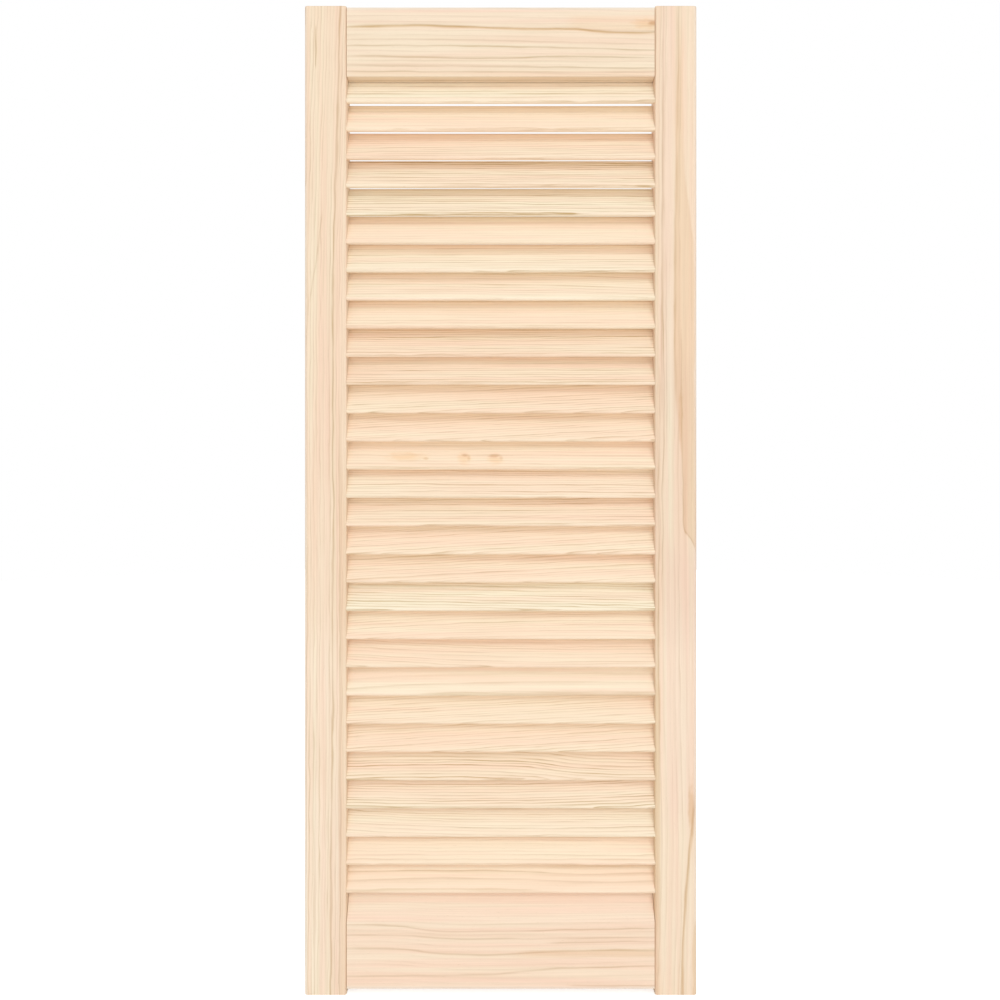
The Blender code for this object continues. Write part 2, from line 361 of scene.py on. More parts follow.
# Noise: how far a seed shifts it along X, Y and Z, its detail where none is given, and its mean
SEED_SPREAD = (1.0, 0.7, 1.3)
NOISE_DETAIL = 1.0
NOISE_MEAN = 0.5


class Graph:
    """Adds nodes to a material, one short call for each; a call returns the node's output."""

    def __init__(self, material):
        material.use_nodes = True
        self.nodes = material.node_tree.nodes
        self.links = material.node_tree.links
        self.shader = self.nodes["Principled BSDF"]

    def add(self, kind):
        return self.nodes.new("ShaderNode" + kind)

    def feed(self, socket, value):
        if isinstance(value, bpy.types.NodeSocket):
            self.links.new(value, socket)
        else:
            socket.default_value = value

    def maths(self, operation, *values, clamp=False):
        node = self.add("Math")
        node.operation = operation
        node.use_clamp = clamp
        for socket, value in zip(node.inputs, values):
            self.feed(socket, value)
        return node.outputs[0]

    def vector(self, operation, *values):
        node = self.add("VectorMath")
        node.operation = operation
        for socket, value in zip(node.inputs, values):
            self.feed(socket, value)
        return node.outputs["Value" if operation == "LENGTH" else "Vector"]

    def split(self, vector):
        node = self.add("SeparateXYZ")
        self.feed(node.inputs[0], vector)
        return node.outputs[0], node.outputs[1], node.outputs[2]

    def join(self, x, y, z):
        node = self.add("CombineXYZ")
        for socket, value in zip(node.inputs, (x, y, z)):
            self.feed(socket, value)
        return node.outputs[0]

    def scale(self, value, low, high, to_low=0.0, to_high=1.0):
        node = self.add("MapRange")
        node.interpolation_type = "SMOOTHSTEP"
        for socket, item in zip(node.inputs, (value, low, high, to_low, to_high)):
            self.feed(socket, item)
        return node.outputs[0]

    def mix(self, kind, factor, first, second):
        node = self.add("Mix")
        node.data_type = "RGBA"
        node.blend_type = kind
        node.clamp_factor = True
        self.feed(node.inputs["Factor"], factor)
        self.feed(node.inputs[6], first)
        self.feed(node.inputs[7], second)
        return node.outputs[2]

    def place(self):
        """The place on a piece, in millimetres of its own frame."""
        place = self.vector("SCALE", self.add("TexCoord").outputs["Object"])
        place.node.inputs["Scale"].default_value = 1 / MM
        return place

    def noise(self, place, sizes, seed, detail=NOISE_DETAIL):
        """Noise with features of these sizes along X, Y and Z, as a value around its mean."""
        shift = [seed * share for share in SEED_SPREAD]
        spot = self.vector("MULTIPLY_ADD", place, [1 / size for size in sizes], shift)
        node = self.add("TexNoise")
        self.feed(node.inputs["Vector"], spot)
        self.feed(node.inputs["Scale"], 1.0)
        self.feed(node.inputs["Detail"], detail)
        return node.outputs[0]

    def pattern(self, place, look, pattern, detail=NOISE_DETAIL):
        """Noise in a pattern of the grain, given as its sizes and its step from the board's seed."""
        sizes, step = pattern
        return self.noise(place, sizes, look["seed"] + step, detail)

    def sway(self, place, look, pattern):
        """Noise in a pattern of the grain, as a value around 0."""
        return self.maths("SUBTRACT", self.pattern(place, look, pattern), NOISE_MEAN)

    def noise_along(self, value, size, seed):
        """One-dimensional noise along a value."""
        node = self.add("TexNoise")
        node.noise_dimensions = "1D"
        self.feed(node.inputs["W"], self.maths("MULTIPLY_ADD", value, 1 / size, seed))
        self.feed(node.inputs["Scale"], 1.0)
        self.feed(node.inputs["Detail"], NOISE_DETAIL)
        return node.outputs[0]

    def chance(self, value, seed):
        """A random number from 0 to 1 for each whole value."""
        node = self.add("TexWhiteNoise")
        node.noise_dimensions = "1D"
        self.feed(node.inputs["W"], self.maths("ADD", value, seed))
        return node.outputs[0]

    def ramp(self, value, stops):
        """A smooth curve through grey stops given as (place, level)."""
        node = self.add("ValToRGB")
        node.color_ramp.interpolation = "EASE"
        elements = node.color_ramp.elements
        while len(elements) < len(stops):
            elements.new(0.5)
        for element, (place, level) in zip(elements, stops):
            element.position = place
            element.color = (level, level, level, 1.0)
        self.feed(node.inputs[0], value)
        return node.outputs[0]

    def path(self, along, points):
        """A place across a board, in millimetres, drawn through points (along, across)."""
        first = points[0][0]
        length = points[-1][0] - first
        share = self.maths("MULTIPLY_ADD", along, 1 / length, -first / length, clamp=True)
        node = self.add("FloatCurve")
        curve = node.mapping.curves[0]
        while len(curve.points) < len(points):
            curve.points.new(0.5, 0.5)
        for point, (place, across) in zip(curve.points, points):
            point.location = ((place - first) / length, 0.5 + across / (2 * PATH_REACH))
        node.mapping.update()
        self.feed(node.inputs["Value"], share)
        return self.maths("MULTIPLY_ADD", node.outputs[0], 2 * PATH_REACH, -PATH_REACH)

    def window(self, along, first, last):
        """A run from first to last that fades out towards both."""
        soft = FADE_SHARE * (last - first)
        rise = self.scale(along, first, first + soft)
        return self.maths("MULTIPLY", rise, self.scale(along, last, last - soft))

    def bell(self, value, middle, width):
        """A bell-shaped peak of height 1."""
        offset = self.maths("MULTIPLY_ADD", value, 1 / width, -middle / width)
        square = self.maths("MULTIPLY", offset, offset)
        return self.maths("EXPONENT", self.maths("MULTIPLY", square, -1.0))

    def bump(self, height, strength, distance):
        """Raise the surface by a height of about 0 to 1."""
        node = self.add("Bump")
        node.inputs["Strength"].default_value = strength
        node.inputs["Distance"].default_value = distance
        self.feed(node.inputs["Height"], height)
        self.feed(self.shader.inputs["Normal"], node.outputs[0])


# Patterns of the grain: millimetres along, across and through a board, and a step from its seed;
# the frayed edge of a mark takes its step from the mark's place
BROAD_WANDER = ((150, 16, 16), 0)
CLOSE_WANDER = ((34, 5, 5), 5)
LINE_FADE = ((75, 3, 3), 11)
STREAK_FADE = ((60, 8, 8), 17)
PATCHES = ((260, 8, 8), 23)
FIBRES = ((45, 0.5, 0.5), 29)
FLECKS = ((5, 0.4, 0.4), 31)
BANDS = ((110, 1.5, 1.5), 37)
STRIPES = ((420, 2.6, 2.6), 41)
FRAYED_EDGE = (9, 3, 3)
FIBRE_DETAIL = 2.0
# The spread of a noise's values, and what it is turned into
NOISE_RANGE = (0.3, 0.7)
LINE_FADES = (0.4, 1.1)
STREAK_RANGE = (0.25, 0.6)
STREAK_FADES = (0.55, 1.0)
FLECK_RANGE = (0.68, 0.78)
FLECK_SHADES = (1.0, 0.88)
# Growth rings: their curve below the front, uneven spacing, strengths and profile
RING_CURVE = 0.012
RINGS_TO_A_CHANGE = 2.6
RING_STRAY = 1.2
RING_STRENGTHS = (0.35, 1.0)
RING_PROFILE = ((0.0, 0.0), (0.3, 0.0), (0.62, 0.35), (0.86, 1.0), (1.0, 0.0))
# The soft side of a strong growth line, in shares of its strength and width
HALO_SHARE = 0.18
HALO_WIDTH = 3
# A mark's frayed edge, and where it begins and is full, in shares of its reach
MARK_FRAY = 0.9
MARK_EDGE = 1.1
MARK_HEART = 0.2
# Shading of the wood, and how much of it reaches red and blue, against green
PATCH_STRENGTH = 0.8
LOWEST_SHADE = 0.88
FIBRE_SHADE = 0.14
BAND_SHADE = 0.1
RED_SHADE = 0.85
BLUE_SHADE = 1.3
# Painted reflection on the outer front edges, paler and bluer, and the end grain, in millimetres
EDGE_REFLECTION_WIDTH = 4.0
EDGE_REFLECTION_FULL = 1.0
EDGE_REFLECTION_DEPTH = 1.5
END_GRAIN_DEPTH = 0.5
# Surface of the wood
SMOOTHEST = 0.54
FIBRE_ROUGHNESS = 0.14
GLOSS = 0.3
BUMP_STRENGTH = 0.35
BUMP_DISTANCE = 0.06 * MM
LINE_BUMP = 0.5


def pine_look(seed, length, half_width, half_depth, front, **changes):
    """Return the settings of one board, in millimetres; front is +1 or -1 as its front faces along Z."""
    look = {
        "seed": seed,
        "start": length[0],
        "end": length[1],
        "half_width": half_width,
        "half_depth": half_depth,
        "front": front,
        "tint": "peach",
        "gap": 3.2,
        "contrast": 0.5,
        "wobble": 1.4,
        "drift": 2.2,
        "lean": 0.55,
        "stripes": 0.4,
        "run": ((0.0, 0.0), (1.0, 0.0)),
        "streaks": (),
        "washes": (),
        "marks": (),
        "outer": 0,
    }
    look.update(changes)
    return look


def board_places(graph, look):
    """Return the place on a board, and how far it is along it, across it and below its front.

    The last two returned are where its grain meets the front, across the board, and the same among rings
    made straight.
    """
    place = graph.place()
    along, across, deep = graph.split(place)
    below = graph.maths("MULTIPLY_ADD", deep, -look["front"], look["half_depth"])
    lean = graph.maths("MULTIPLY", below, graph.maths("MULTIPLY_ADD", below, RING_CURVE, look["lean"]))
    close = graph.sway(place, look, CLOSE_WANDER)
    broad = graph.sway(place, look, BROAD_WANDER)
    shown = graph.maths("MULTIPLY_ADD", close, look["drift"], graph.maths("ADD", across, lean))
    straight = graph.maths("SUBTRACT", shown, graph.path(along, look["run"]))
    rings = graph.maths("MULTIPLY_ADD", broad, 2 * look["wobble"], straight)
    return place, along, across, below, shown, rings


def ring_lines(graph, rings, place, look):
    """Return the dark late wood of the growth rings, from 0 to 1."""
    gap = look["gap"]
    uneven = graph.noise_along(rings, RINGS_TO_A_CHANGE * gap, look["seed"])
    stray = graph.maths("MULTIPLY", uneven, RING_STRAY)
    count = graph.maths("MULTIPLY_ADD", rings, 1 / gap, stray)
    chance = graph.chance(graph.maths("FLOOR", count), look["seed"])
    strength = graph.scale(chance, 0.0, 1.0, *RING_STRENGTHS)
    profile = graph.ramp(graph.maths("FRACT", count), RING_PROFILE)
    fade = graph.scale(graph.pattern(place, look, LINE_FADE), *NOISE_RANGE, *LINE_FADES)
    return graph.maths("MULTIPLY", graph.maths("MULTIPLY", profile, strength), fade)


def streak_lines(graph, along, shown, place, look):
    """Return the board's own strong growth lines, each (width, strength, points on the front)."""
    total = 0.0
    fade = graph.scale(graph.pattern(place, look, STREAK_FADE), *STREAK_RANGE, *STREAK_FADES)
    for width, strength, points in look["streaks"]:
        offset = graph.maths("SUBTRACT", shown, graph.path(along, points))
        core = graph.bell(offset, 0.0, width)
        halo = graph.bell(offset, width, HALO_WIDTH * width)
        line = graph.maths("MULTIPLY_ADD", halo, HALO_SHARE, core)
        part = graph.maths("MULTIPLY", graph.window(along, points[0][0], points[-1][0]), strength)
        total = graph.maths("MULTIPLY_ADD", line, part, total)
    return graph.maths("MULTIPLY", fade, total)


def wash(graph, colour, along, shown, look):
    """Lay the board's washes over its colour, each (tint, strength, softness, lower and upper edge)."""
    for tint, strength, soft, lower, upper in look["washes"]:
        above = graph.scale(graph.maths("SUBTRACT", shown, graph.path(along, lower)), -soft, soft)
        under = graph.scale(graph.maths("SUBTRACT", graph.path(along, upper), shown), -soft, soft)
        run = graph.window(along, min(lower[0][0], upper[0][0]), max(lower[-1][0], upper[-1][0]))
        share = graph.maths("MULTIPLY", graph.maths("MULTIPLY", above, under), run)
        colour = graph.mix("MULTIPLY", graph.maths("MULTIPLY", share, strength), colour, TINTS[tint])
    return colour


def mark(graph, colour, along, shown, place, look):
    """Lay the board's knots and pitch marks, each (tint, strength, place, reach), over its colour."""
    for tint, strength, (x, y), (reach_x, reach_y) in look["marks"]:
        frayed = graph.sway(place, look, (FRAYED_EDGE, x))
        side = graph.maths("MULTIPLY_ADD", along, 1 / reach_x, -x / reach_x)
        rise = graph.maths("MULTIPLY_ADD", shown, 1 / reach_y, -y / reach_y)
        away = graph.vector("LENGTH", graph.join(side, rise, 0.0))
        away = graph.maths("MULTIPLY_ADD", frayed, MARK_FRAY, away)
        share = graph.scale(away, MARK_EDGE, MARK_HEART, 0.0, strength)
        colour = graph.mix("MULTIPLY", share, colour, TINTS[tint])
    return colour


def paint_edge_reflection_and_end_grain(graph, colour, along, across, below, look):
    """Paint a paler, bluer reflection on the board's outer front edge, and darken its end grain."""
    if look["outer"]:
        # Painted reflection: paler and bluer along the outer front edge, fading in from the arris
        outwards = graph.maths("MULTIPLY", across, look["outer"])
        edge = graph.scale(outwards, look["half_width"] - EDGE_REFLECTION_WIDTH, look["half_width"] - EDGE_REFLECTION_FULL)
        edge = graph.maths("MULTIPLY", edge, graph.scale(below, EDGE_REFLECTION_DEPTH, 0.0))
        colour = graph.mix("MULTIPLY", edge, colour, TINTS["edge_reflection"])
    middle = (look["start"] + look["end"]) / 2
    half = (look["end"] - look["start"]) / 2
    from_middle = graph.maths("ABSOLUTE", graph.maths("SUBTRACT", along, middle))
    end = graph.scale(from_middle, half - END_GRAIN_DEPTH, half)
    return graph.mix("MULTIPLY", end, colour, TINTS["end_grain"])


def tone(graph, colour, place, look):
    """Vary the wood's colour in broad patches and narrow stripes, and give it the board's tint, partly
    painted shade on the frame.
    """
    patch = graph.scale(graph.pattern(place, look, PATCHES), *NOISE_RANGE)
    tint = graph.mix("MIX", patch, TINTS["rose"], TINTS["cream"])
    colour = graph.mix("MULTIPLY", PATCH_STRENGTH, colour, tint)
    stripe = graph.scale(graph.pattern(place, look, STRIPES), *NOISE_RANGE)
    tint = graph.mix("MIX", stripe, TINTS["blush"], TINTS["straw"])
    colour = graph.mix("MULTIPLY", look["stripes"], colour, tint)
    return graph.mix("MULTIPLY", 1.0, colour, TINTS[look["tint"]])


def shade_fibres(graph, colour, fibre, place, look):
    """Darken the wood along its fibres, bands and flecks, blue the most and red the least."""
    shade = graph.maths("MULTIPLY_ADD", fibre, FIBRE_SHADE, LOWEST_SHADE)
    shade = graph.maths("MULTIPLY_ADD", graph.pattern(place, look, BANDS), BAND_SHADE, shade)
    fleck = graph.scale(graph.pattern(place, look, FLECKS), *FLECK_RANGE, *FLECK_SHADES)
    shade = graph.maths("MULTIPLY", shade, fleck)
    red = graph.maths("MULTIPLY_ADD", shade, RED_SHADE, 1 - RED_SHADE)
    blue = graph.maths("MULTIPLY_ADD", shade, BLUE_SHADE, 1 - BLUE_SHADE)
    return graph.mix("MULTIPLY", 1.0, colour, graph.join(red, shade, blue))


def pine(name, look):
    """Return a bare pine material for one board."""
    material = bpy.data.materials.new(name)
    graph = Graph(material)
    place, along, across, below, shown, rings = board_places(graph, look)
    dark = graph.maths("MULTIPLY", ring_lines(graph, rings, place, look), look["contrast"])
    dark = graph.maths("ADD", dark, streak_lines(graph, along, shown, place, look), clamp=True)
    fibre = graph.pattern(place, look, FIBRES, FIBRE_DETAIL)
    colour = graph.mix("MIX", dark, EARLY_WOOD, LATE_WOOD)
    colour = tone(graph, colour, place, look)
    colour = shade_fibres(graph, colour, fibre, place, look)
    colour = wash(graph, colour, along, shown, look)
    colour = mark(graph, colour, along, shown, place, look)
    colour = paint_edge_reflection_and_end_grain(graph, colour, along, across, below, look)
    graph.feed(graph.shader.inputs["Base Color"], colour)
    rough = graph.maths("MULTIPLY_ADD", fibre, FIBRE_ROUGHNESS, SMOOTHEST)
    graph.feed(graph.shader.inputs["Roughness"], rough)
    graph.shader.inputs["Specular IOR Level"].default_value = GLOSS
    graph.bump(graph.maths("MULTIPLY_ADD", dark, LINE_BUMP, fibre), BUMP_STRENGTH, BUMP_DISTANCE)
    return material


# Cuts of timber that the slats show: tint, gap of the rings in millimetres, their contrast, and the slope
# of the grain in degrees
SLAT_CUTS = {
    "cream_wide": {"tint": "cream", "gap": 4.6, "contrast": 0.74},
    "cream_close": {"tint": "cream", "gap": 2.8, "contrast": 1.12},
    "plain": {"tint": "peach", "gap": 3.4, "contrast": 0.42},
    "faint": {"tint": "tan", "gap": 3.0, "contrast": 0.6, "slope": 1.0},
    "fine": {"tint": "pale", "gap": 2.6, "contrast": 0.75},
    "close": {"tint": "tan", "gap": 2.7, "contrast": 1.05},
    "falling": {"tint": "cream", "gap": 2.8, "contrast": 1.05, "slope": -1.5},
    "rising": {"tint": "peach", "gap": 2.7, "contrast": 0.7, "slope": 3.4},
    "broad": {"tint": "peach", "gap": 8.5, "contrast": 0.6, "slope": 1.0},
    "wide": {"tint": "pale", "gap": 10.5, "contrast": 0.55},
    "clear": {"tint": "pale", "gap": 2.7, "contrast": 1.1},
    "crisp": {"tint": "pale", "gap": 2.7, "contrast": 1.7},
    "strong": {"tint": "tan", "gap": 2.9, "contrast": 1.2},
}
SLAT_ORDER = (
    "cream_wide plain faint crisp cream_close plain fine fine plain close "
    "close rising rising plain fine close rising rising falling rising "
    "faint wide rising rising strong clear fine plain broad"
).split()
# Slats whose grain bends: drift of the rings, in millimetres, at shares of the length
SLAT_BENDS = {
    8: ((0.0, 0.0), (0.5, 0.0), (1.0, -5.5)),
    20: ((0.0, -9.0), (0.5, -0.5), (1.0, 0.0)),
    21: ((0.0, 8.0), (0.5, 0.5), (1.0, 0.0)),
    22: ((0.0, -6.0), (0.3, 0.0), (1.0, 1.0)),
    25: ((0.0, 0.0), (0.55, 0.0), (0.8, -7.0), (1.0, -8.0)),
    26: ((0.0, 0.0), (0.65, 0.0), (1.0, 5.0)),
    27: ((0.0, 5.0), (0.3, 0.5), (0.6, -0.5), (1.0, 0.5)),
    29: ((0.0, 0.0), (0.5, 1.0), (0.75, -2.0), (1.0, 0.0)),
}
# How much the slats' grain differs from one to the next; the slope in degrees
SLOPE_STRAY = 0.5
SLAT_WOBBLES = (0.6, 1.3)
SLAT_LEANS = (0.2, 1.2)
SLAT_SEEDS = (0, 400)
# Pitch marks and pin knots of one slat: tint, strength, place and reach, along and across it
PITCH_SLAT = "slat_14"
PITCH_MARKS = (
    ("resin", 1.0, (-96.0, -4.5), (27.0, 6.0)),
    ("brown", 0.8, (-75.5, -7.2), (3.6, 2.0)),
    ("resin", 0.9, (-36.5, -6.5), (8.5, 9.0)),
    ("knot", 0.55, (-36.0, -2.8), (4.2, 2.6)),
    ("brown", 0.65, (-32.0, -6.5), (2.4, 4.5)),
    ("resin", 0.9, (-5.5, -7.5), (9.0, 9.5)),
    ("knot", 0.5, (-6.5, -3.4), (7.5, 2.6)),
    ("brown", 0.6, (0.5, -6.5), (2.6, 4.0)),
)


def slat_looks():
    """Return the settings of every slat, by node."""
    draw = random.Random(GRAIN_SEED)
    reach = SLAT_HALF_LENGTH / MM
    looks = {}
    for number, (name, cut) in enumerate(zip(SLAT_NAMES, SLAT_ORDER), start=1):
        changes = dict(SLAT_CUTS[cut])
        slope = math.tan(math.radians(changes.pop("slope", 0.0) + draw.uniform(-SLOPE_STRAY, SLOPE_STRAY)))
        bend = SLAT_BENDS.get(number, ((0.0, -slope * reach), (1.0, slope * reach)))
        run = tuple((reach * (2 * share - 1), drift) for share, drift in bend)
        changes.update(run=run, wobble=draw.uniform(*SLAT_WOBBLES), lean=draw.uniform(*SLAT_LEANS))
        size = (SLAT_WIDTH / 2 / MM, SLAT_THICKNESS / 2 / MM)
        looks[name] = pine_look(draw.uniform(*SLAT_SEEDS), (-reach, reach), *size, 1, **changes)
    looks[PITCH_SLAT]["marks"] = PITCH_MARKS
    return looks


def beside(line, shift):
    """Return a drawn line moved across its board."""
    return [(along, across + shift) for along, across in line]


# Growth lines, washes, some of them painted light, and marks of the frame, in millimetres along and across
# each board's front
LEFT_STILE_LINE = (
    (-150, 5), (14, 5), (396, 7.6), (557, 7.6), (718, 7.6), (868, 12.2), (979, 14.5), (1150, 16),
)
LEFT_STILE_STREAKS = (
    (0.9, 0.42, LEFT_STILE_LINE),
    (0.9, 0.32, ((-150, 14), (300, 14.8), (640, 14.5))),
    (0.5, 0.7, ((928, -9.6), (950, -9.4), (976, -9.4))),
    (0.7, 0.26, ((-120, -16.5), (60, -16.9), (180, -16.1), (330, -16))),
    (0.7, 0.22, ((-120, -11.8), (90, -11.2), (160, -11.7), (300, -11))),
    (0.8, 0.16, ((-120, -6.5), (150, -6.4), (280, -6))),
    (0.8, 0.2, ((-120, -0.6), (70, 0.2), (150, -0.5), (300, 0))),
    (0.7, 0.26, ((690, -17), (708, -14.5), (736, -9.4), (768, -4.9), (790, -3))),
)
LEFT_STILE_WASHES = (
    ("cream", 0.5, 2.5, ((500, -17), (993, -16)), ((500, -9), (993, -8))),
    # Painted light: the lower part made paler, most of all towards the outer edge, where the lamps light it
    # less
    ("light", 1.0, 4.0, ((-150, -25), (400, -25)), ((-150, 25), (400, 25))),
    ("light", 0.7, 3.0, ((-150, -25), (230, -25)), ((-150, 5), (230, 5))),
    ("rose", 0.8, 3.0, ((250, -8), (700, -6)), ((250, 4), (700, 5))),
    ("umber", 0.6, 1.5, ((-100, 15.5), (560, 15.5)), ((-100, 26), (560, 26))),
    ("pink", 0.5, 2.5, ((-100, 7), (240, 7)), ((-100, 16), (240, 16))),
)
RIGHT_STILE_LINE = ((-120, 5.6), (0, 5.9), (53, 7.2), (103, 9.7), (143, 13.5), (174, 16.5), (215, 19))
STAIN_POINT = ((425, 27), (454, 16.8), (471, 8.0), (486, 7.4), (534, 6.8))
RIGHT_STILE_STREAKS = (
    (0.9, 0.36, ((560, -14.7), (700, -14.0), (979, -12.9), (1100, -12.5))),
    (1.0, 0.36, ((560, 0.4), (718, -0.8), (850, 1.0), (979, 2.8), (1100, 4))),
    (0.7, 0.4, (*STAIN_POINT, (580, 5.6), (680, 5.0))),
    (1.1, 0.4, RIGHT_STILE_LINE),
    (0.5, 0.4,
     ((360, -13.4), (440, -14), (478, -13.2), (505, -14.2), (530, -13), (556, -12.4), (720, -13.6))),
    (0.5, 0.3, ((530, -10.8), (570, -9.6), (640, -10), (760, -10.4))),
    (0.5, 0.35, ((280, -17), (420, -17.6), (470, -16.6), (520, -17.6), (560, -16.4), (650, -17.4))),
)
RIGHT_STILE_WASHES = (
    ("umber", 0.8, 1.2,
     ((352, 27), *STAIN_POINT, (560, 3), (650, -1.5), (800, -1), (1000, 3)),
     ((352, 24), (454, 24), (600, 19), (760, 17), (830, 9), (1000, 9))),
    # Painted light: a paler strip along the outer edge
    ("light", 0.9, 1.0, ((500, 17.6), (655, 17.6)), ((500, 26), (655, 26))),
    ("cream", 0.5, 1.8, ((440, -11.5), (730, -12)), ((440, -4.5), (730, -4.5))),
    ("brown", 0.45, 1.2, ((-150, -25), (480, -25)), ((-150, -16), (480, -16))),
    ("brown", 0.4, 1.2, ((50, -25), (340, -25)), ((50, -16), (340, -16))),
    ("umber", 0.35, 1.2, ((420, -25), (1150, -25)), ((420, -16), (1150, -16))),
    ("pink", 1.0, 3.0, ((560, -16), (1150, -16)), ((560, -3), (1150, -2))),
    ("pink", 0.8, 3.0, ((150, -10), (470, -10)), ((150, 21), (470, 21))),
    ("brown", 0.6, 0.8, beside(RIGHT_STILE_LINE, -0.8), beside(RIGHT_STILE_LINE, 1.8)),
    # Painted light: the lower part made paler, where the lamps light it less
    ("light", 0.6, 4.0, ((-150, -25), (420, -25)), ((-150, 25), (420, 25))),
    ("dull", 1.0, 4.0, ((330, -25), (660, -25)), ((330, 25), (660, 25))),
    ("cream", 0.6, 1.2, ((-40, 7.5), (95, 10), (150, 13)), ((-40, 13), (95, 16), (150, 17))),
    ("brown", 0.7, 1.2, ((-30, 15.5), (80, 18)), ((-30, 24), (80, 24))),
)
RIGHT_STILE_MARKS = (
    ("brown", 0.9, (190.0, 15.2), (34.0, 3.4)),
    ("brown", 0.5, (582.0, 5.0), (36.0, 3.2)),
)
TOP_RAIL_LINE = (
    (-180, 14.8), (-101, 16.3), (-66, 16.3), (-31, 15), (38, 13.2), (72, 12.8), (140, 9.2), (185, 13),
)
TOP_RAIL_STREAKS = (
    (1.1, 0.6, TOP_RAIL_LINE),
    (0.7, 0.3, ((-190, 1.8), (-80, 2.6), (40, 0.3), (190, -3.4))),
    (0.7, 0.45, ((-190, -4.1), (-80, -3.8), (40, -5.6), (190, -9.6))),
    (0.8, 0.48, ((-190, -13.6), (-101, -14.8), (4, -16.6), (38, -15.3), (190, -17))),
    (0.7, 0.2, ((-190, -18.8), (0, -19.2), (190, -20.5))),
    (0.8, 0.3, ((-190, -23.3), (0, -25), (190, -26.6))),
    (0.7, 0.36, ((-190, -29.6), (190, -30.2))),
)
TOP_RAIL_WASHES = (
    ("rose", 0.9, 3.0, ((-190, 19), (190, 14)), ((-190, 38), (190, 38))),
    ("resin", 0.4, 2.0, ((60, 12), (190, 12)), ((60, 26), (190, 26))),
    ("resin", 0.3, 3.0, ((-190, -45), (190, -45)), ((-190, -29), (190, -29))),
    ("resin", 0.8, 1.0, beside(TOP_RAIL_LINE, -1.8), beside(TOP_RAIL_LINE, 0.6)),
)
TOP_RAIL_MARKS = (
    ("knot", 0.75, (152.5, 18.6), (6.5, 4.0)),
    ("resin", 1.0, (146.0, 18.6), (16.0, 7.0)),
)
BOTTOM_RAIL_STREAKS = (
    (0.8, 0.42, ((-190, 30.1), (-110, 30), (-60, 24.8), (0, 24.6), (60, 25.8), (190, 28.4))),
    (0.8, 0.34, ((-190, 20.1), (-100, 20.2), (-55, 17.2), (20, 17), (190, 19))),
    (0.9, 0.4, ((-190, 5), (-101, 6.7), (-66, 2.6), (4, 1.5), (38, 3.2), (106, 5.5), (190, 4.5))),
    (0.9, 0.32, ((-190, -20.4), (-31, -19.4), (0, -18), (40, -14), (190, -10.8))),
    (0.7, 0.36, ((40, 12.6), (100, 13.8), (190, 14.2))),
    (0.7, 0.28, ((60, -29.6), (190, -30.6))),
)
BOTTOM_RAIL_WASHES = (
    ("umber", 0.9, 2.4, ((0, -1), (260, -1)), ((0, 4), (160, 6.4), (260, 6.4))),
    ("rose", 0.9, 2.5, ((-190, -36), (190, -36)), ((-190, -24), (190, -24))),
)


def frame_looks():
    """Return the settings of the stiles and rails, by node."""
    depth = HALF_THICKNESS / MM
    stile = ((0.0, DOOR_HEIGHT / MM), STILE_WIDTH / 2 / MM, depth, -1)
    rail_reach = RAIL_HALF_LENGTH / MM
    rails = {}
    for name in ("rail_top", "rail_bottom"):
        corners = rail_corners(name)
        rails[name] = ((-rail_reach, rail_reach), (corners[-1][1] - corners[0][1]) / 2 / MM, depth, 1)
    return {
        # The stiles' and rails' tints paint shade on them, beside their tone, against the slats
        "stile_left": pine_look(
            11.0, *stile, tint="stile", gap=3.2, contrast=0.42, wobble=0.8, drift=3.4, outer=-1,
            stripes=0.8,
            run=((0, -5), (396, -2.5), (718, -2.5), (993, 5)),
            streaks=LEFT_STILE_STREAKS, washes=LEFT_STILE_WASHES,
        ),
        "stile_right": pine_look(
            57.0, *stile, tint="stile", gap=5.6, contrast=0.26, wobble=0.8, drift=3.0, outer=1,
            stripes=0.6,
            run=((0, -3), (150, 1), (300, -1.5), (600, -3), (993, 0)),
            streaks=RIGHT_STILE_STREAKS, washes=RIGHT_STILE_WASHES, marks=RIGHT_STILE_MARKS,
        ),
        "rail_top": pine_look(
            83.0, *rails["rail_top"], tint="top_rail", gap=5.0, contrast=0.2, wobble=0.9, outer=1,
            run=((-155, 0), (-66, 0), (40, -2), (155, -4.5)),
            streaks=TOP_RAIL_STREAKS, washes=TOP_RAIL_WASHES, marks=TOP_RAIL_MARKS,
        ),
        "rail_bottom": pine_look(
            129.0, *rails["rail_bottom"], tint="bottom_rail", gap=6.0, contrast=0.2, wobble=0.9,
            outer=-1, lean=3.4, stripes=0.2,
            run=((-155, 0), (-110, 0), (-60, -4), (20, -4), (155, -1)),
            streaks=BOTTOM_RAIL_STREAKS, washes=BOTTOM_RAIL_WASHES,
        ),
    }


# The dowels' beech: colours, sizes of its tones and ray flecks in millimetres, and their seeds
BEECH_DARK = srgb(206, 164, 124)
BEECH_LIGHT = srgb(226, 188, 148)
BEECH_RAY = srgb(160, 112, 78)
BEECH_TONES = (40, 1.6, 1.6)
BEECH_RAYS = (3.0, 0.3, 0.3)
TONE_SEED = 3.0
RAY_SEED = 7.0
TONE_DETAIL = 2.0
RAY_RANGE = (0.62, 0.72)
RAY_STRENGTH = 0.5
BEECH_SMOOTHEST = 0.5
TONE_ROUGHNESS = 0.2
BEECH_BUMP_STRENGTH = 0.3
BEECH_BUMP_DISTANCE = 0.05 * MM


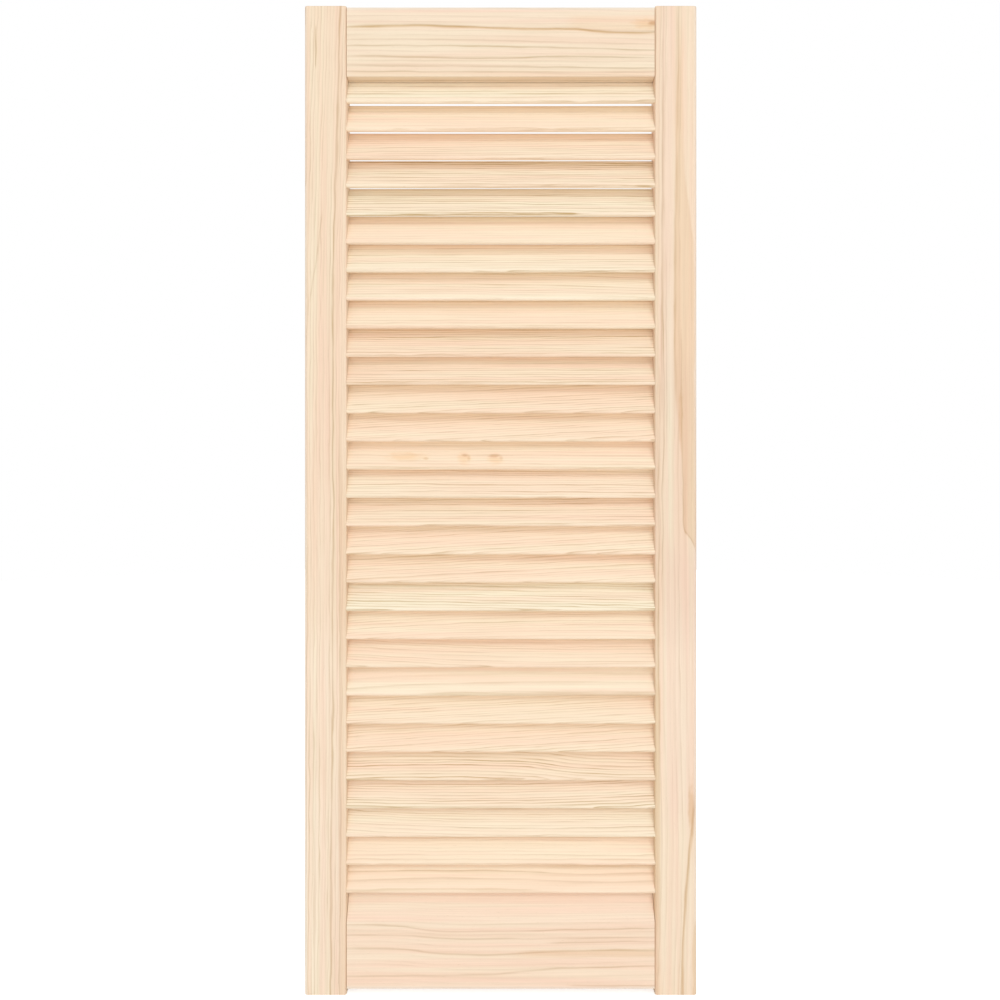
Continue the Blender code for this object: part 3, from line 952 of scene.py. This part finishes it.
def beech(name):
    """Return a beech material for the dowels: pinkish brown with short dark ray flecks."""
    material = bpy.data.materials.new(name)
    graph = Graph(material)
    place = graph.place()
    tone_noise = graph.noise(place, BEECH_TONES, TONE_SEED, TONE_DETAIL)
    colour = graph.mix("MIX", graph.scale(tone_noise, *NOISE_RANGE), BEECH_DARK, BEECH_LIGHT)
    ray = graph.scale(graph.noise(place, BEECH_RAYS, RAY_SEED), *RAY_RANGE)
    colour = graph.mix("MIX", graph.maths("MULTIPLY", ray, RAY_STRENGTH), colour, BEECH_RAY)
    graph.feed(graph.shader.inputs["Base Color"], colour)
    rough = graph.maths("MULTIPLY_ADD", tone_noise, TONE_ROUGHNESS, BEECH_SMOOTHEST)
    graph.feed(graph.shader.inputs["Roughness"], rough)
    graph.bump(tone_noise, BEECH_BUMP_STRENGTH, BEECH_BUMP_DISTANCE)
    return material


def dress(timber):
    """Give every board its own pine and the dowels their beech."""
    looks = {**frame_looks(), **slat_looks()}
    for node, piece in timber.items():
        piece.data.materials.clear()
        piece.data.materials.append(pine("pine_" + node, looks[node]))
    wood = beech("beech_dowel")
    for name in DOWEL_NAMES:
        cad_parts[name].material_slots[0].material = wood


# Camera, found from the photograph's framing, in metres, with its sensor in millimetres
CAMERA_DISTANCE = 0.790
CAMERA_HEIGHT = 0.4969
CAMERA_SIDE = -0.0007
FRAME_WIDTH = 1.0037
SENSOR = 36.0


def add_camera():
    """Add the camera, square on to the door's front."""
    data = bpy.data.cameras.new("camera")
    data.sensor_width = SENSOR
    data.lens = SENSOR * CAMERA_DISTANCE / FRAME_WIDTH
    camera = bpy.data.objects.new("camera", data)
    camera.location = (CAMERA_SIDE, -HALF_THICKNESS - CAMERA_DISTANCE, CAMERA_HEIGHT)
    camera.rotation_euler = (math.pi / 2, 0.0, 0.0)
    bpy.context.scene.collection.objects.link(camera)
    bpy.context.scene.camera = camera


# Lights and floor; each lamp is its name, place, size and watts
LAMPS = (
    ("key", (2.2, -5.4, 4.81), (1.6, 1.6), 80.0),
    ("low_fill", (0.0, -3.0, 0.25), (3.0, 0.4), 22.0),
    ("back_fill", (-2.0, 5.0, 3.0), (3.0, 2.0), 35.0),
)
AMBIENT = 0.745
FLOOR_RADIUS = 5.0
FLOOR_SIDES = 96
FLOOR_GLOW = 0.62
FLOOR_COLOUR = (0.8, 0.8, 0.8, 1.0)
FLOOR_ROUGHNESS = 0.9
TARGET = Vector((0.0, 0.0, 0.5))


def add_lamp(name, place, size, power):
    """Add a soft rectangular lamp aimed at the middle of the door."""
    data = bpy.data.lights.new(name, "AREA")
    data.shape = "RECTANGLE"
    data.size, data.size_y = size
    data.energy = power
    lamp = bpy.data.objects.new(name, data)
    lamp.location = place
    lamp.rotation_euler = (TARGET - Vector(place)).to_track_quat("-Z", "Y").to_euler()
    bpy.context.scene.collection.objects.link(lamp)


def seen_rays(nodes, links):
    """Return 1 for rays that show a surface to the camera, straight, mirrored or through glass."""
    rays = nodes.new("ShaderNodeLightPath")
    total = rays.outputs["Is Camera Ray"]
    for name in ("Is Glossy Ray", "Is Transmission Ray"):
        more = nodes.new("ShaderNodeMath")
        more.operation = "MAXIMUM"
        links.new(total, more.inputs[0])
        links.new(rays.outputs[name], more.inputs[1])
        total = more.outputs[0]
    return total


def add_world():
    """Light the scene evenly and show white where nothing stands."""
    world = bpy.data.worlds.new("studio")
    bpy.context.scene.world = world
    world.use_nodes = True
    nodes = world.node_tree.nodes
    links = world.node_tree.links
    level = nodes.new("ShaderNodeMapRange")
    links.new(seen_rays(nodes, links), level.inputs["Value"])
    level.inputs["To Min"].default_value = AMBIENT
    level.inputs["To Max"].default_value = 1.0
    nodes["Background"].inputs["Color"].default_value = WHITE
    links.new(level.outputs[0], nodes["Background"].inputs["Strength"])


def add_floor():
    """Add a round pale floor, shown white, that keeps the door's shadow."""
    angles = [2 * math.pi * i / FLOOR_SIDES for i in range(FLOOR_SIDES)]
    verts = [(FLOOR_RADIUS * math.cos(a), FLOOR_RADIUS * math.sin(a), 0.0) for a in angles]
    mesh = bpy.data.meshes.new("floor")
    mesh.from_pydata(verts, [], [tuple(range(FLOOR_SIDES))])
    floor = add_object("floor", mesh, Matrix.Identity(4))
    material = bpy.data.materials.new("floor")
    material.use_nodes = True
    nodes = material.node_tree.nodes
    links = material.node_tree.links
    shader = nodes["Principled BSDF"]
    shader.inputs["Base Color"].default_value = FLOOR_COLOUR
    shader.inputs["Roughness"].default_value = FLOOR_ROUGHNESS
    shader.inputs["Specular IOR Level"].default_value = 0.0
    shader.inputs["Emission Color"].default_value = WHITE
    glow = nodes.new("ShaderNodeMath")
    glow.operation = "MULTIPLY"
    links.new(seen_rays(nodes, links), glow.inputs[0])
    glow.inputs[1].default_value = FLOOR_GLOW
    links.new(glow.outputs[0], shader.inputs["Emission Strength"])
    mesh.materials.append(material)


bpy.context.scene.view_settings.view_transform = "Standard"
add_camera()
add_world()
add_floor()
for lamp in LAMPS:
    add_lamp(*lamp)
dress(build_timber())
